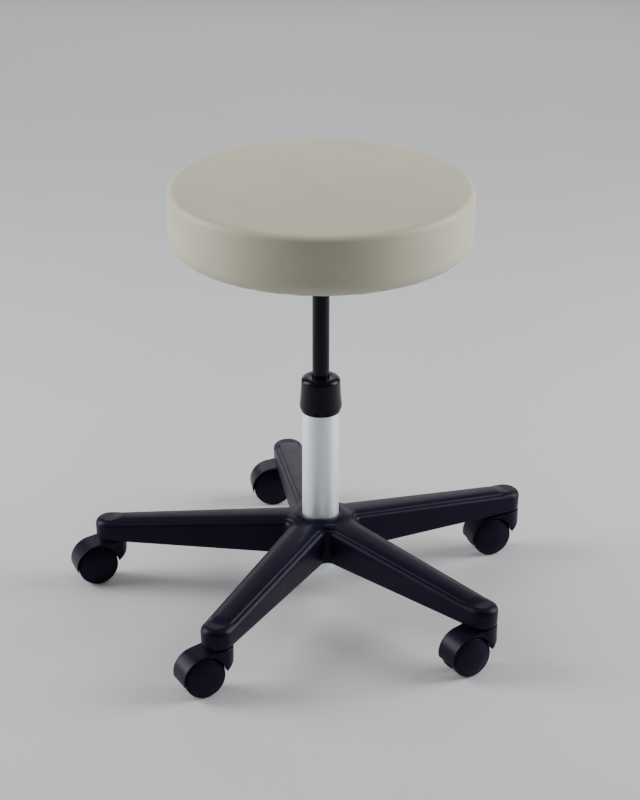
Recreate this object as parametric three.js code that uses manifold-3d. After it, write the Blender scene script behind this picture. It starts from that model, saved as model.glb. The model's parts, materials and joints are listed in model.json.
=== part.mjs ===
// Dentist stool: a round upholstered seat on a gas-lift column, with a five-leg moulded base on
// twin-wheel casters. Millimetres, +Z up. The origin is on the floor, on the column's axis.
import * as THREE from 'three';
import { mergeVertices } from 'three/addons/utils/BufferGeometryUtils.js';
import { ConvexGeometry } from 'three/addons/geometries/ConvexGeometry.js';
import Module from 'manifold-3d';

const wasm = await Module();
wasm.setup();

// ---- Driving dimensions ---------------------------------------------------------------------

const GAP = 0.3; // left between pieces that touch
const STEEL = 2; // wall of the pressed and drawn steel pieces
const SEAT_SEGMENTS = 40;

const seat = { radius: 201.2, top: 602, thickness: 88, crown: 2.5, topEdge: 13, bottomEdge: 22 };
const cover = { wall: 1.6, hem: 165 };
const board = { radius: 180, thickness: 12 };

const column = { radius: 25, bottom: 42, floor: 3, top: 310, endRadius: 20.5, taperTop: 120 };
const collar = { bottom: 277, top: 326.5, topRadius: 26, maxRadius: 28.7, lipRadius: 25.9 };
const lift = { radius: 11.6, wall: 1.4, bottom: 236, top: 497 };
const spindle = { radius: 4, pistonBottom: 252, pistonHeight: 12 };

const hub = { top: 125.5, topRadius: 31, radius: 42, bottom: 69, sleeveWall: 3 };
const leg = {
  count: 5,
  firstAngle: 11.5, // degrees from +X: this turn centres the stool's plan box on the column
  stemRadius: 296,
  hubHalfWidth: 27,
  tipHalfWidth: 21.5,
  hubLedge: 122,
  tipLedge: 91.6,
  hubBottom: 70,
  tipBottom: 66,
  ledgeWidth: 5.5,
  crown: 4,
  wall: 4,
};

const caster = {
  wheelRadius: 28.2,
  trail: 24,
  width: 41, // over the two wheels' outer faces
  hoodRadius: 31.8,
  hoodWidth: 36.6,
  web: 11, // the housing's middle wall, between the wheels
  neckRadius: 21,
  neckTop: 64,
  running: 1.2, // wheel to hood
  axleRadius: 3,
};
const stem = { radius: 5.5, pinRadius: 4, bottom: 33, top: 87, flange: 9 };

// The direction in which each caster trails, in degrees from +X, by leg.
const casterAngles = [268, 258, 244, 256, 263];

const lever = {
  angle: 146, // the direction it points in, degrees from +X
  pivotOut: 22,
  pivotHeight: 504,
  pinRadius: 3,
  barRadius: 4,
  drop: 28,
  reach: 228,
  grip: 62,
};
const bracket = { halfWidth: 24, back: -34, front: 42, bottom: 478, plateHalf: 76, plate: 3 };
const socket = { outer: 17, depth: 20, flange: 3 };
const bolts = { spacing: 120, radius: 3, headRadius: 5, headHeight: 3.5 };

const seatBottom = seat.top - seat.thickness;
const boardBottom = seatBottom + cover.wall + GAP;
const plateTop = boardBottom - GAP;

// ---- Colours --------------------------------------------------------------------------------

const paint = (name, color, roughness, metalness) =>
  new THREE.MeshStandardMaterial({ name, color, roughness, metalness });

const vinyl = paint('vinyl', 0xb9b7a8, 0.5, 0);
const foam = paint('foam', 0xe6d9a8, 0.95, 0);
const plywood = paint('plywood', 0xb98c58, 0.8, 0);
const blackSteel = paint('black_steel', 0x1b1b1e, 0.4, 0.6);
const brightSteel = paint('bright_steel', 0xc9ccd2, 0.3, 0.9);
const satinSteel = paint('satin_steel', 0xc4c8d0, 0.35, 0.6);
const blackPlastic = paint('black_plastic', 0x1e1c24, 0.45, 0);
const casterPlastic = paint('caster_plastic', 0x1a1a20, 0.4, 0);
const wheelPlastic = paint('wheel_plastic', 0x17171b, 0.5, 0);
const rubber = paint('rubber', 0x151515, 0.85, 0);

// ---- Shape helpers --------------------------------------------------------------------------

const radians = THREE.MathUtils.degToRad;
const v2 = (x, y) => new THREE.Vector2(x, y);
const v3 = (x, y, z) => new THREE.Vector3(x, y, z);

function toSolid(geometry) {
  const bare = geometry.index ? geometry.toNonIndexed() : geometry.clone();
  bare.deleteAttribute('normal');
  bare.deleteAttribute('uv');
  const merged = mergeVertices(bare, 1e-4);
  return new wasm.Manifold(
    new wasm.Mesh({
      numProp: 3,
      vertProperties: new Float32Array(merged.attributes.position.array),
      triVerts: new Uint32Array(merged.index.array),
    }),
  );
}

function toGeometry(solid) {
  const mesh = solid.getMesh();
  const geometry = new THREE.BufferGeometry();
  geometry.setAttribute('position', new THREE.BufferAttribute(mesh.vertProperties, 3));
  geometry.setIndex(new THREE.BufferAttribute(mesh.triVerts, 1));
  geometry.computeVertexNormals();
  return geometry;
}

const join = (first, ...rest) => rest.reduce((sum, next) => sum.add(next), first);
const cut = (first, ...rest) => rest.reduce((sum, next) => sum.subtract(next), first);

// Points of an arc in a profile's plane, angles in degrees, ends included.
function arc(cx, cy, radius, from, to, steps) {
  return Array.from({ length: steps + 1 }, (_, i) => {
    const a = radians(from + ((to - from) * i) / steps);
    return v2(cx + radius * Math.cos(a), cy + radius * Math.sin(a));
  });
}

// A solid of revolution about Z. The profile holds (radius, z) points, listed clockwise.
function turned(profile, segments = 24) {
  return new THREE.LatheGeometry([...profile].reverse(), segments).rotateX(Math.PI / 2);
}

// A ring, or tube, of rectangular section about Z.
function ring(inner, outer, bottom, top, segments = 24) {
  const p = [v2(inner, bottom), v2(inner, top), v2(outer, top), v2(outer, bottom)];
  return turned([...p, p[0]], segments);
}

function rod(radius, bottom, top, segments = 24) {
  return turned([v2(0, top), v2(radius, top), v2(radius, bottom), v2(0, bottom)], segments);
}

// A cylinder along Y, as used for axles, pins and the cuts round the wheels.
function crossRod(radius, from, to, x, z, segments = 24) {
  const geometry = new THREE.CylinderGeometry(radius, radius, to - from, segments);
  return geometry.translate(x, (from + to) / 2, z);
}

function block(x0, x1, y0, y1, z0, z1) {
  const geometry = new THREE.BoxGeometry(x1 - x0, y1 - y0, z1 - z0);
  return geometry.translate((x0 + x1) / 2, (y0 + y1) / 2, (z0 + z1) / 2);
}

const group = new THREE.Group();

function add(parent, name, geometry, material) {
  const mesh = new THREE.Mesh(geometry, material);
  mesh.name = name;
  parent.add(mesh);
  return mesh;
}

// ---- Seat -----------------------------------------------------------------------------------

// The seat's outline from the axis at the top round to the hem below, drawn `inset` inside it.
function seatOutline(inset, steps = 3) {
  const { radius, top, crown, topEdge, bottomEdge } = seat;
  const edgeTop = top - crown;
  const upper = topEdge - inset;
  const lower = bottomEdge - inset;
  return [
    v2(0, top - inset),
    v2(radius * 0.55, top - inset),
    ...arc(radius - topEdge, edgeTop - topEdge, upper, 84, 0, steps),
    ...arc(radius - bottomEdge, seatBottom + bottomEdge, lower, 0, -90, steps + 1),
    v2(cover.hem, seatBottom + inset),
  ];
}

function coverGeometry() {
  const outside = seatOutline(0);
  const inside = seatOutline(cover.wall).reverse();
  return turned([...outside, ...inside], SEAT_SEGMENTS);
}

function foamGeometry() {
  const inset = cover.wall + GAP;
  const floor = boardBottom + board.thickness + GAP;
  const outline = seatOutline(inset).filter((p) => p.y > floor + 1);
  return turned([...outline, v2(seat.radius - seat.bottomEdge / 2, floor), v2(0, floor)], SEAT_SEGMENTS);
}

// The bracket's four fixing holes, on a square round the axis.
const boltPlaces = [-1, 1].flatMap((sx) =>
  [-1, 1].map((sy) => [(sx * bolts.spacing) / 2, (sy * bolts.spacing) / 2]),
);

const boltHoles = (bottom, top) =>
  boltPlaces.map(([x, y]) => toSolid(rod(bolts.radius + GAP, bottom, top, 12).translate(x, y, 0)));

// The board that the foam is glued to, drawn in the lever's frame like its bolts.
function boardGeometry() {
  const top = boardBottom + board.thickness;
  const disc = toSolid(rod(board.radius, boardBottom, top, SEAT_SEGMENTS));
  return toGeometry(cut(disc, ...boltHoles(boardBottom - 1, top - GAP)));
}

// The pressed bracket under the seat, in the lever's frame: a plate with a channel hung below it.
function bracketGeometry() {
  const { halfWidth: half, back, front, bottom, plateHalf, plate } = bracket;
  const plateBottom = plateTop - plate;
  const flat = block(-plateHalf, plateHalf, -plateHalf, plateHalf, plateBottom, plateTop);
  const shell = block(back, front, -half, half, bottom, plateBottom + 1);
  const inside = block(
    back + STEEL, front + 1, STEEL - half, half - STEEL, bottom + STEEL, plateBottom,
  );
  const socketHole = rod(socket.outer + GAP, bottom - 1, bottom + STEEL + 1, 24);
  const { pinRadius, pivotOut, pivotHeight } = lever;
  const pinHole = crossRod(pinRadius + GAP, -half - 1, half + 1, pivotOut, pivotHeight, 16);
  const outer = join(toSolid(flat), toSolid(shell));
  const holes = [inside, socketHole, pinHole].map(toSolid);
  return toGeometry(cut(outer, ...holes, ...boltHoles(plateBottom - 1, plateTop + 1)));
}

// The tapered socket that the gas cylinder's head sits in, with a stop flange inside the bracket.
function socketGeometry() {
  const { outer, depth, flange } = socket;
  const bore = lift.radius + GAP;
  const bottom = bracket.bottom - depth;
  const flangeBottom = bracket.bottom + STEEL + GAP;
  const flangeTop = flangeBottom + flange;
  return turned([
    v2(bore, bottom),
    v2(bore, flangeTop),
    v2(outer + flange, flangeTop),
    v2(outer + flange, flangeBottom),
    v2(outer, flangeBottom),
    v2(outer - 2, bottom),
    v2(bore, bottom),
  ], 24);
}

function boltGeometry() {
  const { radius, headRadius, headHeight } = bolts;
  const end = plateTop + board.thickness - 1;
  const under = plateTop - bracket.plate - GAP;
  return turned([
    v2(0, end),
    v2(radius, end),
    v2(radius, under),
    v2(headRadius, under),
    v2(headRadius, under - headHeight),
    v2(0, under - headHeight),
  ], 12);
}

// The lever bar: a round bar bent down and outwards, with an eye for the pivot pin.
function leverGeometry() {
  const { pivotOut, pivotHeight, pinRadius, barRadius, drop, reach } = lever;
  const path = new THREE.CurvePath();
  const points = [
    v3(-7, 0, pivotHeight), // the end that presses the valve's button
    v3(52, 0, pivotHeight - 3),
    v3(148, 0, pivotHeight - drop),
    v3(reach - 6, 0, pivotHeight - drop),
  ];
  points.slice(1).forEach((p, i) => path.add(new THREE.LineCurve3(points[i], p)));
  const section = new THREE.Shape(arc(0, 0, barRadius, 0, 360, 8).slice(0, -1));
  const bar = new THREE.ExtrudeGeometry(section, { extrudePath: path, steps: 12, bevelEnabled: false });
  const eye = crossRod(7.5, -8, 8, pivotOut, pivotHeight, 20);
  const bore = crossRod(pinRadius + GAP, -9, 9, pivotOut, pivotHeight, 16);
  return toGeometry(cut(join(toSolid(bar), toSolid(eye)), toSolid(bore)));
}

// The paddle grip: a flat rounded moulding with a blind hole for the bar.
function gripGeometry() {
  const { pivotHeight, drop, reach, barRadius, grip } = lever;
  const z = pivotHeight - drop;
  const start = reach - grip;
  const stations = [
    [start, 7, 6],
    [start + 18, 13, 6.5],
    [reach + 2, 13, 5.5],
    [reach + 7, 9, 3.5],
  ];
  const points = stations.flatMap(([x, halfWidth, half]) =>
    [-1, 1].flatMap((sy) =>
      [-1, 1].flatMap((sz) => [
        v3(x, sy * halfWidth, z + sz * half * 0.55),
        v3(x, sy * halfWidth * 0.75, z + sz * half),
      ]),
    ),
  );
  const holeRadius = barRadius + 2 * GAP;
  const hole = new THREE.CylinderGeometry(holeRadius, holeRadius, grip - 3, 16);
  hole.rotateZ(Math.PI / 2).translate(start + (grip - 5) / 2, 0, z);
  return toGeometry(cut(toSolid(new ConvexGeometry(points)), toSolid(hole)));
}

function addSeat() {
  add(group, 'seat_cover', coverGeometry(), vinyl);
  add(group, 'seat_foam', foamGeometry(), foam);
  const turn = new THREE.Group();
  turn.rotation.z = radians(lever.angle);
  group.add(turn);
  add(turn, 'seat_board', boardGeometry(), plywood);
  add(turn, 'seat_bracket', bracketGeometry(), blackSteel);
  add(turn, 'taper_socket', socketGeometry(), blackSteel);
  boltPlaces.forEach(([x, y], i) => {
    add(turn, `seat_bolt_${i + 1}`, boltGeometry().translate(x, y, 0), brightSteel);
  });
  add(turn, 'lever_bar', leverGeometry(), blackSteel);
  add(turn, 'lever_grip', gripGeometry(), blackPlastic);
  const { pinRadius, pivotOut, pivotHeight } = lever;
  const half = bracket.halfWidth + 2;
  const pin = crossRod(pinRadius, -half, half, pivotOut, pivotHeight, 16);
  add(turn, 'lever_pin', pin, brightSteel);
}

// ---- Column and gas lift --------------------------------------------------------------------

// The outer tube: straight above the hub, tapered inside it, with a floor that carries the spindle.
function tubeGeometry() {
  const { radius, bottom, floor, top, endRadius, taperTop } = column;
  const hole = spindle.radius + 2 * GAP;
  const hubEnd = hub.bottom - 4;
  return turned([
    v2(hole, bottom),
    v2(hole, bottom + floor),
    v2(endRadius - STEEL, bottom + floor),
    v2(radius - 1 - STEEL, hubEnd),
    v2(radius - STEEL, taperTop),
    v2(radius - STEEL, top),
    v2(radius, top),
    v2(radius, taperTop),
    v2(radius - 1, hubEnd),
    v2(endRadius + 1, bottom + 1.5),
    v2(endRadius, bottom),
    v2(hole, bottom),
  ]);
}

// The black collar: it caps the tube and wipes the lift's cylinder.
function collarGeometry() {
  const { bottom, top, topRadius, maxRadius, lipRadius } = collar;
  const bore = lift.radius + 2 * GAP;
  const tubeBore = column.radius + GAP;
  const shelf = column.top + GAP;
  return turned([
    v2(tubeBore, bottom),
    v2(tubeBore, shelf),
    v2(bore, shelf),
    v2(bore, top - 5),
    v2(bore + 3, top - 1),
    ...arc(topRadius - 6, top - 6, 6, 90, 0, 4),
    v2(maxRadius - 0.2, bottom + 12),
    ...arc(maxRadius - 3, bottom + 3.5, 3, 20, -60, 3),
    v2(lipRadius + 0.3, bottom),
    v2(tubeBore, bottom),
  ]);
}

function bushGeometry() {
  const outer = column.radius - STEEL - GAP;
  return ring(lift.radius + GAP, outer, column.top - 72, column.top);
}

// The gas cylinder: the black rod that stands out of the column. Its head has the valve's hole.
function cylinderGeometry() {
  const { radius, wall, bottom, top } = lift;
  const valve = 4 + GAP;
  return turned([
    v2(radius - wall, bottom),
    v2(radius - wall, top - 14),
    v2(valve, top - 14),
    v2(valve, top),
    v2(radius - 1, top),
    v2(radius, top - 2),
    v2(radius, bottom),
    v2(radius - wall, bottom),
  ]);
}

// The valve's button: a plunger with a thinner nose, which the lever presses down.
function buttonGeometry() {
  const { top } = lift;
  return turned([
    v2(0, top + 2),
    v2(2.2, top + 2),
    v2(2.2, top - 1),
    v2(4, top - 2),
    v2(4, top - 18),
    v2(0, top - 18),
  ], 16);
}

// The lift's inner pieces: the seal and piston inside the cylinder, and on the tube's floor the
// thrust bearing, the end stop and the clip that hold the piston's rod.
function addSpindle() {
  const { radius, pistonBottom, pistonHeight } = spindle;
  const bore = lift.radius - lift.wall - GAP;
  const snug = radius + GAP;
  const loose = radius + 2 * GAP;
  const pistonTop = pistonBottom + pistonHeight;
  const floor = column.bottom + column.floor;
  add(group, 'rod_seal', ring(snug, bore, lift.bottom + 1, lift.bottom + 13), rubber);
  add(group, 'piston', ring(snug, bore, pistonBottom, pistonTop), brightSteel);
  add(group, 'piston_rod', rod(radius, column.bottom - 4, pistonTop + 2), brightSteel);
  add(group, 'bearing_race_lower', ring(loose, 14, floor + GAP, floor + 2.3), brightSteel);
  add(group, 'bearing_cage', ring(loose, 13, floor + 2.6, floor + 5.6), brightSteel);
  add(group, 'bearing_race_upper', ring(snug, 14, floor + 5.9, floor + 8), brightSteel);
  add(group, 'end_stop_buffer', ring(snug, 9, floor + 8.3, floor + 20), rubber);
  add(group, 'retaining_clip', ring(snug, 8, column.bottom - 2.3, column.bottom - GAP), brightSteel);
}

function addColumn() {
  add(group, 'column_tube', tubeGeometry(), satinSteel);
  add(group, 'column_collar', collarGeometry(), blackPlastic);
  add(group, 'guide_bush', bushGeometry(), blackPlastic);
  add(group, 'gas_cylinder', cylinderGeometry(), blackSteel);
  add(group, 'valve_button', buttonGeometry(), brightSteel);
  addSpindle();
}

// ---- Base -----------------------------------------------------------------------------------

const legAngles = Array.from(
  { length: leg.count },
  (_, i) => leg.firstAngle + (360 / leg.count) * i,
);

const along = (from, to, r) => THREE.MathUtils.lerp(from, to, r / leg.stemRadius);

// The leg's half width, ledge height and underside at a distance from the column's axis.
function legSection(r) {
  return {
    half: along(leg.hubHalfWidth, leg.tipHalfWidth, r),
    ledge: along(leg.hubLedge, leg.tipLedge, r),
    bottom: along(leg.hubBottom, leg.tipBottom, r),
  };
}

function legHull(from, to, sectionPoints) {
  const points = [from, to].flatMap((r) =>
    sectionPoints(legSection(r)).map(([y, z]) => v3(r, y, z)),
  );
  return toSolid(new ConvexGeometry(points));
}

// The wide lower part of a leg, with rounded upper edges.
const skirtSection = ({ half, ledge, bottom }) =>
  [-1, 1].flatMap((s) => [
    [s * (half - 1), bottom],
    [s * half, ledge - 3],
    [s * (half - 1), ledge - 1],
    [s * (half - 3), ledge],
  ]);

// The narrower arched crown on top of it.
const crownSection = ({ half, ledge }) => {
  const w = half - leg.ledgeWidth;
  const shoulder = 1.5;
  const rise = (t) => ledge + shoulder + (leg.crown - shoulder) * (1 - t * t);
  return [
    [-w, ledge - 3],
    [w, ledge - 3],
    ...[-1, -0.72, -0.36, 0, 0.36, 0.72, 1].map((t) => [t * w, rise(t)]),
  ];
};

// A hollow in the leg's underside, between two ribs.
const hollowSection = ({ half, ledge, bottom }) =>
  [-1, 1].flatMap((s) => [
    [s * (half - leg.wall), bottom - 2],
    [s * (half - leg.wall), ledge - 9],
    [s * (half - leg.wall - 5), ledge - leg.wall],
  ]);

function legSolid() {
  const tip = legSection(leg.stemRadius);
  const top = tip.ledge + leg.crown;
  const cap = turned([
    v2(0, top),
    ...arc(tip.half - 8, top - 8, 8, 78, 0, 3),
    v2(tip.half, tip.bottom + 14),
    v2(tip.half - 0.5, tip.bottom),
    v2(0, tip.bottom),
  ], 24).translate(leg.stemRadius, 0, 0);
  return join(
    legHull(0, leg.stemRadius, skirtSection),
    legHull(0, leg.stemRadius, crownSection),
    toSolid(cap),
  );
}

// The hollows between the leg's ribs, and the hole for the caster's stem.
function legHollows() {
  const spans = [[52, 122], [126, 196], [200, 268]];
  const stemHole = rod(stem.radius + GAP, leg.tipBottom - 2, stem.top + 1, 16);
  return [
    ...spans.map(([from, to]) => legHull(from, to, hollowSection)),
    toSolid(stemHole.translate(leg.stemRadius, 0, 0)),
  ];
}

function baseGeometry() {
  const { top, topRadius, radius, bottom, sleeveWall } = hub;
  const bore = column.radius + sleeveWall + 2 * GAP;
  const middle = turned([
    v2(0, top),
    v2(topRadius, top),
    v2(topRadius + 2, top - 2),
    v2(topRadius + 5, top - 6),
    v2(radius, top - 10),
    v2(radius, bottom),
    v2(0, bottom),
  ], 24);
  const arm = legSolid();
  const hollows = legHollows();
  let solid = toSolid(middle);
  for (const a of legAngles) solid = solid.add(arm.rotate([0, 0, a]));
  for (const a of legAngles) solid = cut(solid, ...hollows.map((h) => h.rotate([0, 0, a])));
  return toGeometry(cut(solid, toSolid(rod(bore, bottom - 2, top + 2))));
}

// The steel sleeve moulded into the hub, tapered like the tube inside it.
function sleeveGeometry() {
  const inner = column.radius + GAP;
  const outer = inner + hub.sleeveWall;
  const top = column.taperTop;
  const bottom = hub.bottom + 1;
  return turned([
    v2(inner - 0.9, bottom),
    v2(inner, top),
    v2(outer, top),
    v2(outer, bottom),
    v2(inner - 0.9, bottom),
  ]);
}

// ---- Casters --------------------------------------------------------------------------------
// Each caster is drawn trailing along +X, with the stem's axis at x = 0 and the floor at z = 0.

function stemGeometry() {
  const flangeBottom = caster.neckTop + GAP;
  const flangeTop = leg.tipBottom - GAP;
  return turned([
    v2(0, stem.top),
    v2(stem.radius, stem.top),
    v2(stem.radius, flangeTop),
    v2(stem.flange, flangeTop),
    v2(stem.flange, flangeBottom),
    v2(stem.pinRadius, flangeBottom),
    v2(stem.pinRadius, stem.bottom),
    v2(0, stem.bottom),
  ], 12);
}

// The one-piece housing: a round neck in front, a hood over the wheels and a wall between them.
function housingGeometry() {
  const { trail, wheelRadius, hoodRadius, neckRadius, neckTop, running } = caster;
  const side = new THREE.Shape([
    v2(-8, wheelRadius + 3),
    v2(trail, wheelRadius - 14),
    v2(trail + wheelRadius + running + 0.4, wheelRadius - 2),
    ...arc(trail, wheelRadius, hoodRadius, 6, 84, 8),
    v2(8, neckTop),
    v2(2 - neckRadius, neckTop),
    v2(-neckRadius, neckTop - 2),
    ...arc(15 - neckRadius, 52, 15, 180, 240, 4),
  ]);
  const depth = 2 * neckRadius + 2;
  const slab = new THREE.ExtrudeGeometry(side, { depth, bevelEnabled: false });
  slab.translate(0, 0, -depth / 2).rotateX(Math.PI / 2);
  const halfHood = caster.hoodWidth / 2;
  const plan = join(
    toSolid(rod(neckRadius, 0, neckTop + 1)),
    toSolid(block(0, trail + hoodRadius + 1, -halfHood, halfHood, 0, neckTop + 1)),
  );
  const { width, web, axleRadius } = caster;
  const wells = [[web / 2, width], [-width, -web / 2]].map(([from, to]) =>
    toSolid(crossRod(wheelRadius + running, from, to, trail, wheelRadius)),
  );
  const axleHole = crossRod(axleRadius + GAP, -width, width, trail, wheelRadius, 16);
  const stemHole = rod(stem.pinRadius + GAP, stem.bottom - 1, neckTop + 1, 16);
  const solid = toSolid(slab).intersect(plan);
  return toGeometry(cut(solid, ...wells, toSolid(axleHole), toSolid(stemHole)));
}

// A wheel about Z with its outer face up, drawn from the housing's middle wall outwards.
function wheelGeometry() {
  const { wheelRadius: r, width, web, axleRadius } = caster;
  const inner = web / 2 + 0.7;
  const outer = width / 2;
  const bore = axleRadius + GAP;
  return turned([
    v2(0, outer),
    v2(r * 0.55, outer - 0.4),
    v2(r - 3, outer - 1.6),
    v2(r, outer - 4.5),
    v2(r, inner),
    v2(bore, inner),
    v2(bore, outer - 4),
    v2(0, outer - 4),
  ], 24);
}

function addCaster(index) {
  const angle = radians(legAngles[index]);
  const place = new THREE.Group();
  place.position.set(leg.stemRadius * Math.cos(angle), leg.stemRadius * Math.sin(angle), 0);
  place.rotation.z = radians(casterAngles[index]);
  group.add(place);
  const name = `caster_${index + 1}`;
  const { trail, wheelRadius, width, axleRadius } = caster;
  const half = width / 2 - 4.4;
  const axle = crossRod(axleRadius, -half, half, trail, wheelRadius, 16);
  add(place, `${name}_stem`, stemGeometry(), brightSteel);
  add(place, `${name}_housing`, housingGeometry(), casterPlastic);
  add(place, `${name}_axle`, axle, brightSteel);
  for (const [side, turn] of [['left', -1], ['right', 1]]) {
    const wheel = add(place, `${name}_wheel_${side}`, wheelGeometry(), wheelPlastic);
    wheel.rotation.x = (turn * Math.PI) / 2;
    wheel.position.set(trail, 0, wheelRadius);
  }
}

// ---- Assembly -------------------------------------------------------------------------------

add(group, 'base', baseGeometry(), blackPlastic);
add(group, 'hub_sleeve', sleeveGeometry(), brightSteel);
for (let i = 0; i < leg.count; i += 1) addCaster(i);
addColumn();
addSeat();

export default group;
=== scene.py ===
"""A dentist's stool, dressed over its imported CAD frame.

A seamless vinyl cushion, a gas-lift column, and a moulded five-leg base on twin-wheel casters.
Blender works in metres with +Z up. The sizes below are in millimetres, and MM turns them into
metres.
"""

import json
import math

import bmesh
import bpy
import numpy as np
from mathutils import Matrix, Quaternion, Vector


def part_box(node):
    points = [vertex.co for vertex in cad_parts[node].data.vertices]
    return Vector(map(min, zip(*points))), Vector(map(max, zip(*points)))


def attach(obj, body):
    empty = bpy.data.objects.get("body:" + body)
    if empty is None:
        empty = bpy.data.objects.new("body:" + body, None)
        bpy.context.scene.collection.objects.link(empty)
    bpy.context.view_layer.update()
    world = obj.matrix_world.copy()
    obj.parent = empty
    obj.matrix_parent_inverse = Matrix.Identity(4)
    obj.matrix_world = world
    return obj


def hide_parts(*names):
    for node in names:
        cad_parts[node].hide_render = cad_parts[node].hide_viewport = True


MM = 0.001

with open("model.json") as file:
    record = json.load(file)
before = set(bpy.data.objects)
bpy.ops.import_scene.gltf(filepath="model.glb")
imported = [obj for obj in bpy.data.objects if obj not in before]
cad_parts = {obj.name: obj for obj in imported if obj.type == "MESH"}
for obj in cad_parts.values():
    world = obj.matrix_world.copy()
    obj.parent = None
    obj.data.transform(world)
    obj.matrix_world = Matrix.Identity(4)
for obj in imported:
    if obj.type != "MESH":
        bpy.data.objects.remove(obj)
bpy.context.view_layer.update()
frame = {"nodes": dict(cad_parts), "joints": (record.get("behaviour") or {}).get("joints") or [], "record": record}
joints = {j["name"]: j for j in frame["joints"]}
slot_of = {s["node"]: s["material_slot"] for s in frame["record"]["subparts"]}


# ---- Meshes ---------------------------------------------------------------------------------


def rounded(corners, closed=False, step=15):
    """Points of a polyline whose corners are (x, y) or (x, y, radius), each radius made an arc."""
    points = []
    for i, (x, y, *rest) in enumerate(corners):
        here = np.array((x, y), float)
        at_end = not closed and i in (0, len(corners) - 1)
        if at_end or not rest:
            points.append(here)
            continue
        before = np.array(corners[i - 1][:2], float) - here
        after = np.array(corners[(i + 1) % len(corners)][:2], float) - here
        before /= np.linalg.norm(before)
        after /= np.linalg.norm(after)
        half = math.acos(np.clip(before @ after, -1, 1)) / 2
        turn = math.pi - 2 * half
        middle = (before + after) / np.linalg.norm(before + after)
        centre = here + middle * rest[0] / math.sin(half)
        start = here + before * rest[0] / math.tan(half) - centre
        end = here + after * rest[0] / math.tan(half) - centre
        steps = max(2, math.ceil(math.degrees(turn) / step))
        for k in range(steps + 1):
            share = k / steps * turn
            mix = start * math.sin(turn - share) + end * math.sin(share)
            points.append(centre + mix / math.sin(turn))
    return points


def arc(cx, cy, radius, start, end, steps):
    """Points of an arc, its angles in degrees."""
    angles = np.radians(np.linspace(start, end, steps + 1))
    return [(cx + radius * math.cos(a), cy + radius * math.sin(a)) for a in angles]


def lathe(profile, segments=96, closed=False):
    """A shape turned about Z from (radius, height) points. A closed profile is a ring's section."""
    verts, faces, rings = [], [], []
    angles = [2 * math.pi * k / segments for k in range(segments)]
    for r, z in profile:
        first = len(verts)
        if r < 1e-6:
            verts.append((0, 0, z))
        else:
            verts += [(r * math.cos(a), r * math.sin(a), z) for a in angles]
        rings.append([first + k % (len(verts) - first) for k in range(segments)])
    loops = zip(rings, rings[1:] + rings[:1] if closed else rings[1:])
    for low, high in loops:
        for k in range(segments):
            m = (k + 1) % segments
            face = list(dict.fromkeys((low[k], low[m], high[m], high[k])))
            if len(face) > 2:
                faces.append(face)
    return verts, faces


def band(low, high, count):
    """The quads between two rings of points, whose first points have the indices low and high."""
    after = [(k + 1) % count for k in range(count)]
    return [(low + k, low + m, high + m, high + k) for k, m in enumerate(after)]


def stacked(verts, sides):
    """A shape from points in rings of so many, one ring after another, its two ends closed."""
    last = len(verts) - sides
    faces = []
    for first in range(0, last, sides):
        faces += band(first, first + sides, sides)
    return verts, faces + [tuple(range(sides)), tuple(range(last, len(verts)))]


def prism(outline, low, high, axis="y"):
    """A closed outline drawn out between two places along an axis.

    Its points are (y, z), (x, z) or (x, y): the two other axes in their order.
    """
    order = {
        "x": lambda a, b, d: (d, a, b),
        "y": lambda a, b, d: (a, d, b),
        "z": lambda a, b, d: (a, b, d),
    }
    verts = [order[axis](a, b, d) for d in (low, high) for a, b in outline]
    return stacked(verts, len(outline))


def swept(path, radius, sides=20):
    """A round bar along a path in the XZ plane, its ends closed and slightly rounded."""
    path = [np.array(p, float) for p in path]
    ends = [path[0] + (path[0] - path[1]) * 1e-6, path[-1] + (path[-1] - path[-2]) * 1e-6]
    points = [ends[0], *path, ends[1]]
    radii = [radius * 0.7, *[radius] * len(path), radius * 0.7]
    verts = []
    for i, (p, r) in enumerate(zip(points, radii)):
        run = points[min(i + 1, len(points) - 1)] - points[max(i - 1, 0)]
        run /= np.linalg.norm(run)
        for k in range(sides):
            a = 2 * math.pi * k / sides
            across, up = r * math.cos(a), r * math.sin(a)
            verts.append((p[0] - run[1] * up, across, p[1] + run[0] * up))
    return stacked(verts, sides)


def turned_to(shape, matrix):
    """The same shape, moved by a matrix in millimetres."""
    verts, faces = shape
    return [tuple(matrix @ Vector(v)) for v in verts], faces


def together(*shapes):
    """Several shapes as one, each still closed in itself."""
    verts, faces = [], []
    for more, sides in shapes:
        faces += [[i + len(verts) for i in side] for side in sides]
        verts += list(more)
    return verts, faces


def solid(name, shape, place=None, weld=False, sharp=40):
    """An object from a shape in millimetres, smooth but for edges that turn more than `sharp`."""
    verts, faces = shape
    mesh = bpy.data.meshes.new(name)
    mesh.from_pydata([tuple(c * MM for c in v) for v in verts], [], [tuple(f) for f in faces])
    if place is not None:
        mesh.transform(place)
    shape = bmesh.new()
    shape.from_mesh(mesh)
    if weld:
        bmesh.ops.remove_doubles(shape, verts=shape.verts, dist=0.01 * MM)
        bmesh.ops.dissolve_degenerate(shape, edges=shape.edges, dist=0.001 * MM)
    bmesh.ops.recalc_face_normals(shape, faces=shape.faces)
    shape.to_mesh(mesh)
    shape.free()
    mesh.shade_smooth()
    mesh.set_sharp_from_angle(angle=math.radians(sharp))
    obj = bpy.data.objects.new(name, mesh)
    bpy.context.scene.collection.objects.link(obj)
    return obj


def points_of(obj):
    """The object's points as rows of x, y and z in metres."""
    points = np.zeros(len(obj.data.vertices) * 3)
    obj.data.vertices.foreach_get("co", points)
    return points.reshape(-1, 3)


def worked_in(obj):
    """Applies the object's modifiers to its mesh."""
    graph = bpy.context.evaluated_depsgraph_get()
    mesh = bpy.data.meshes.new_from_object(obj.evaluated_get(graph))
    obj.modifiers.clear()
    obj.data = mesh
    return obj


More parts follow.
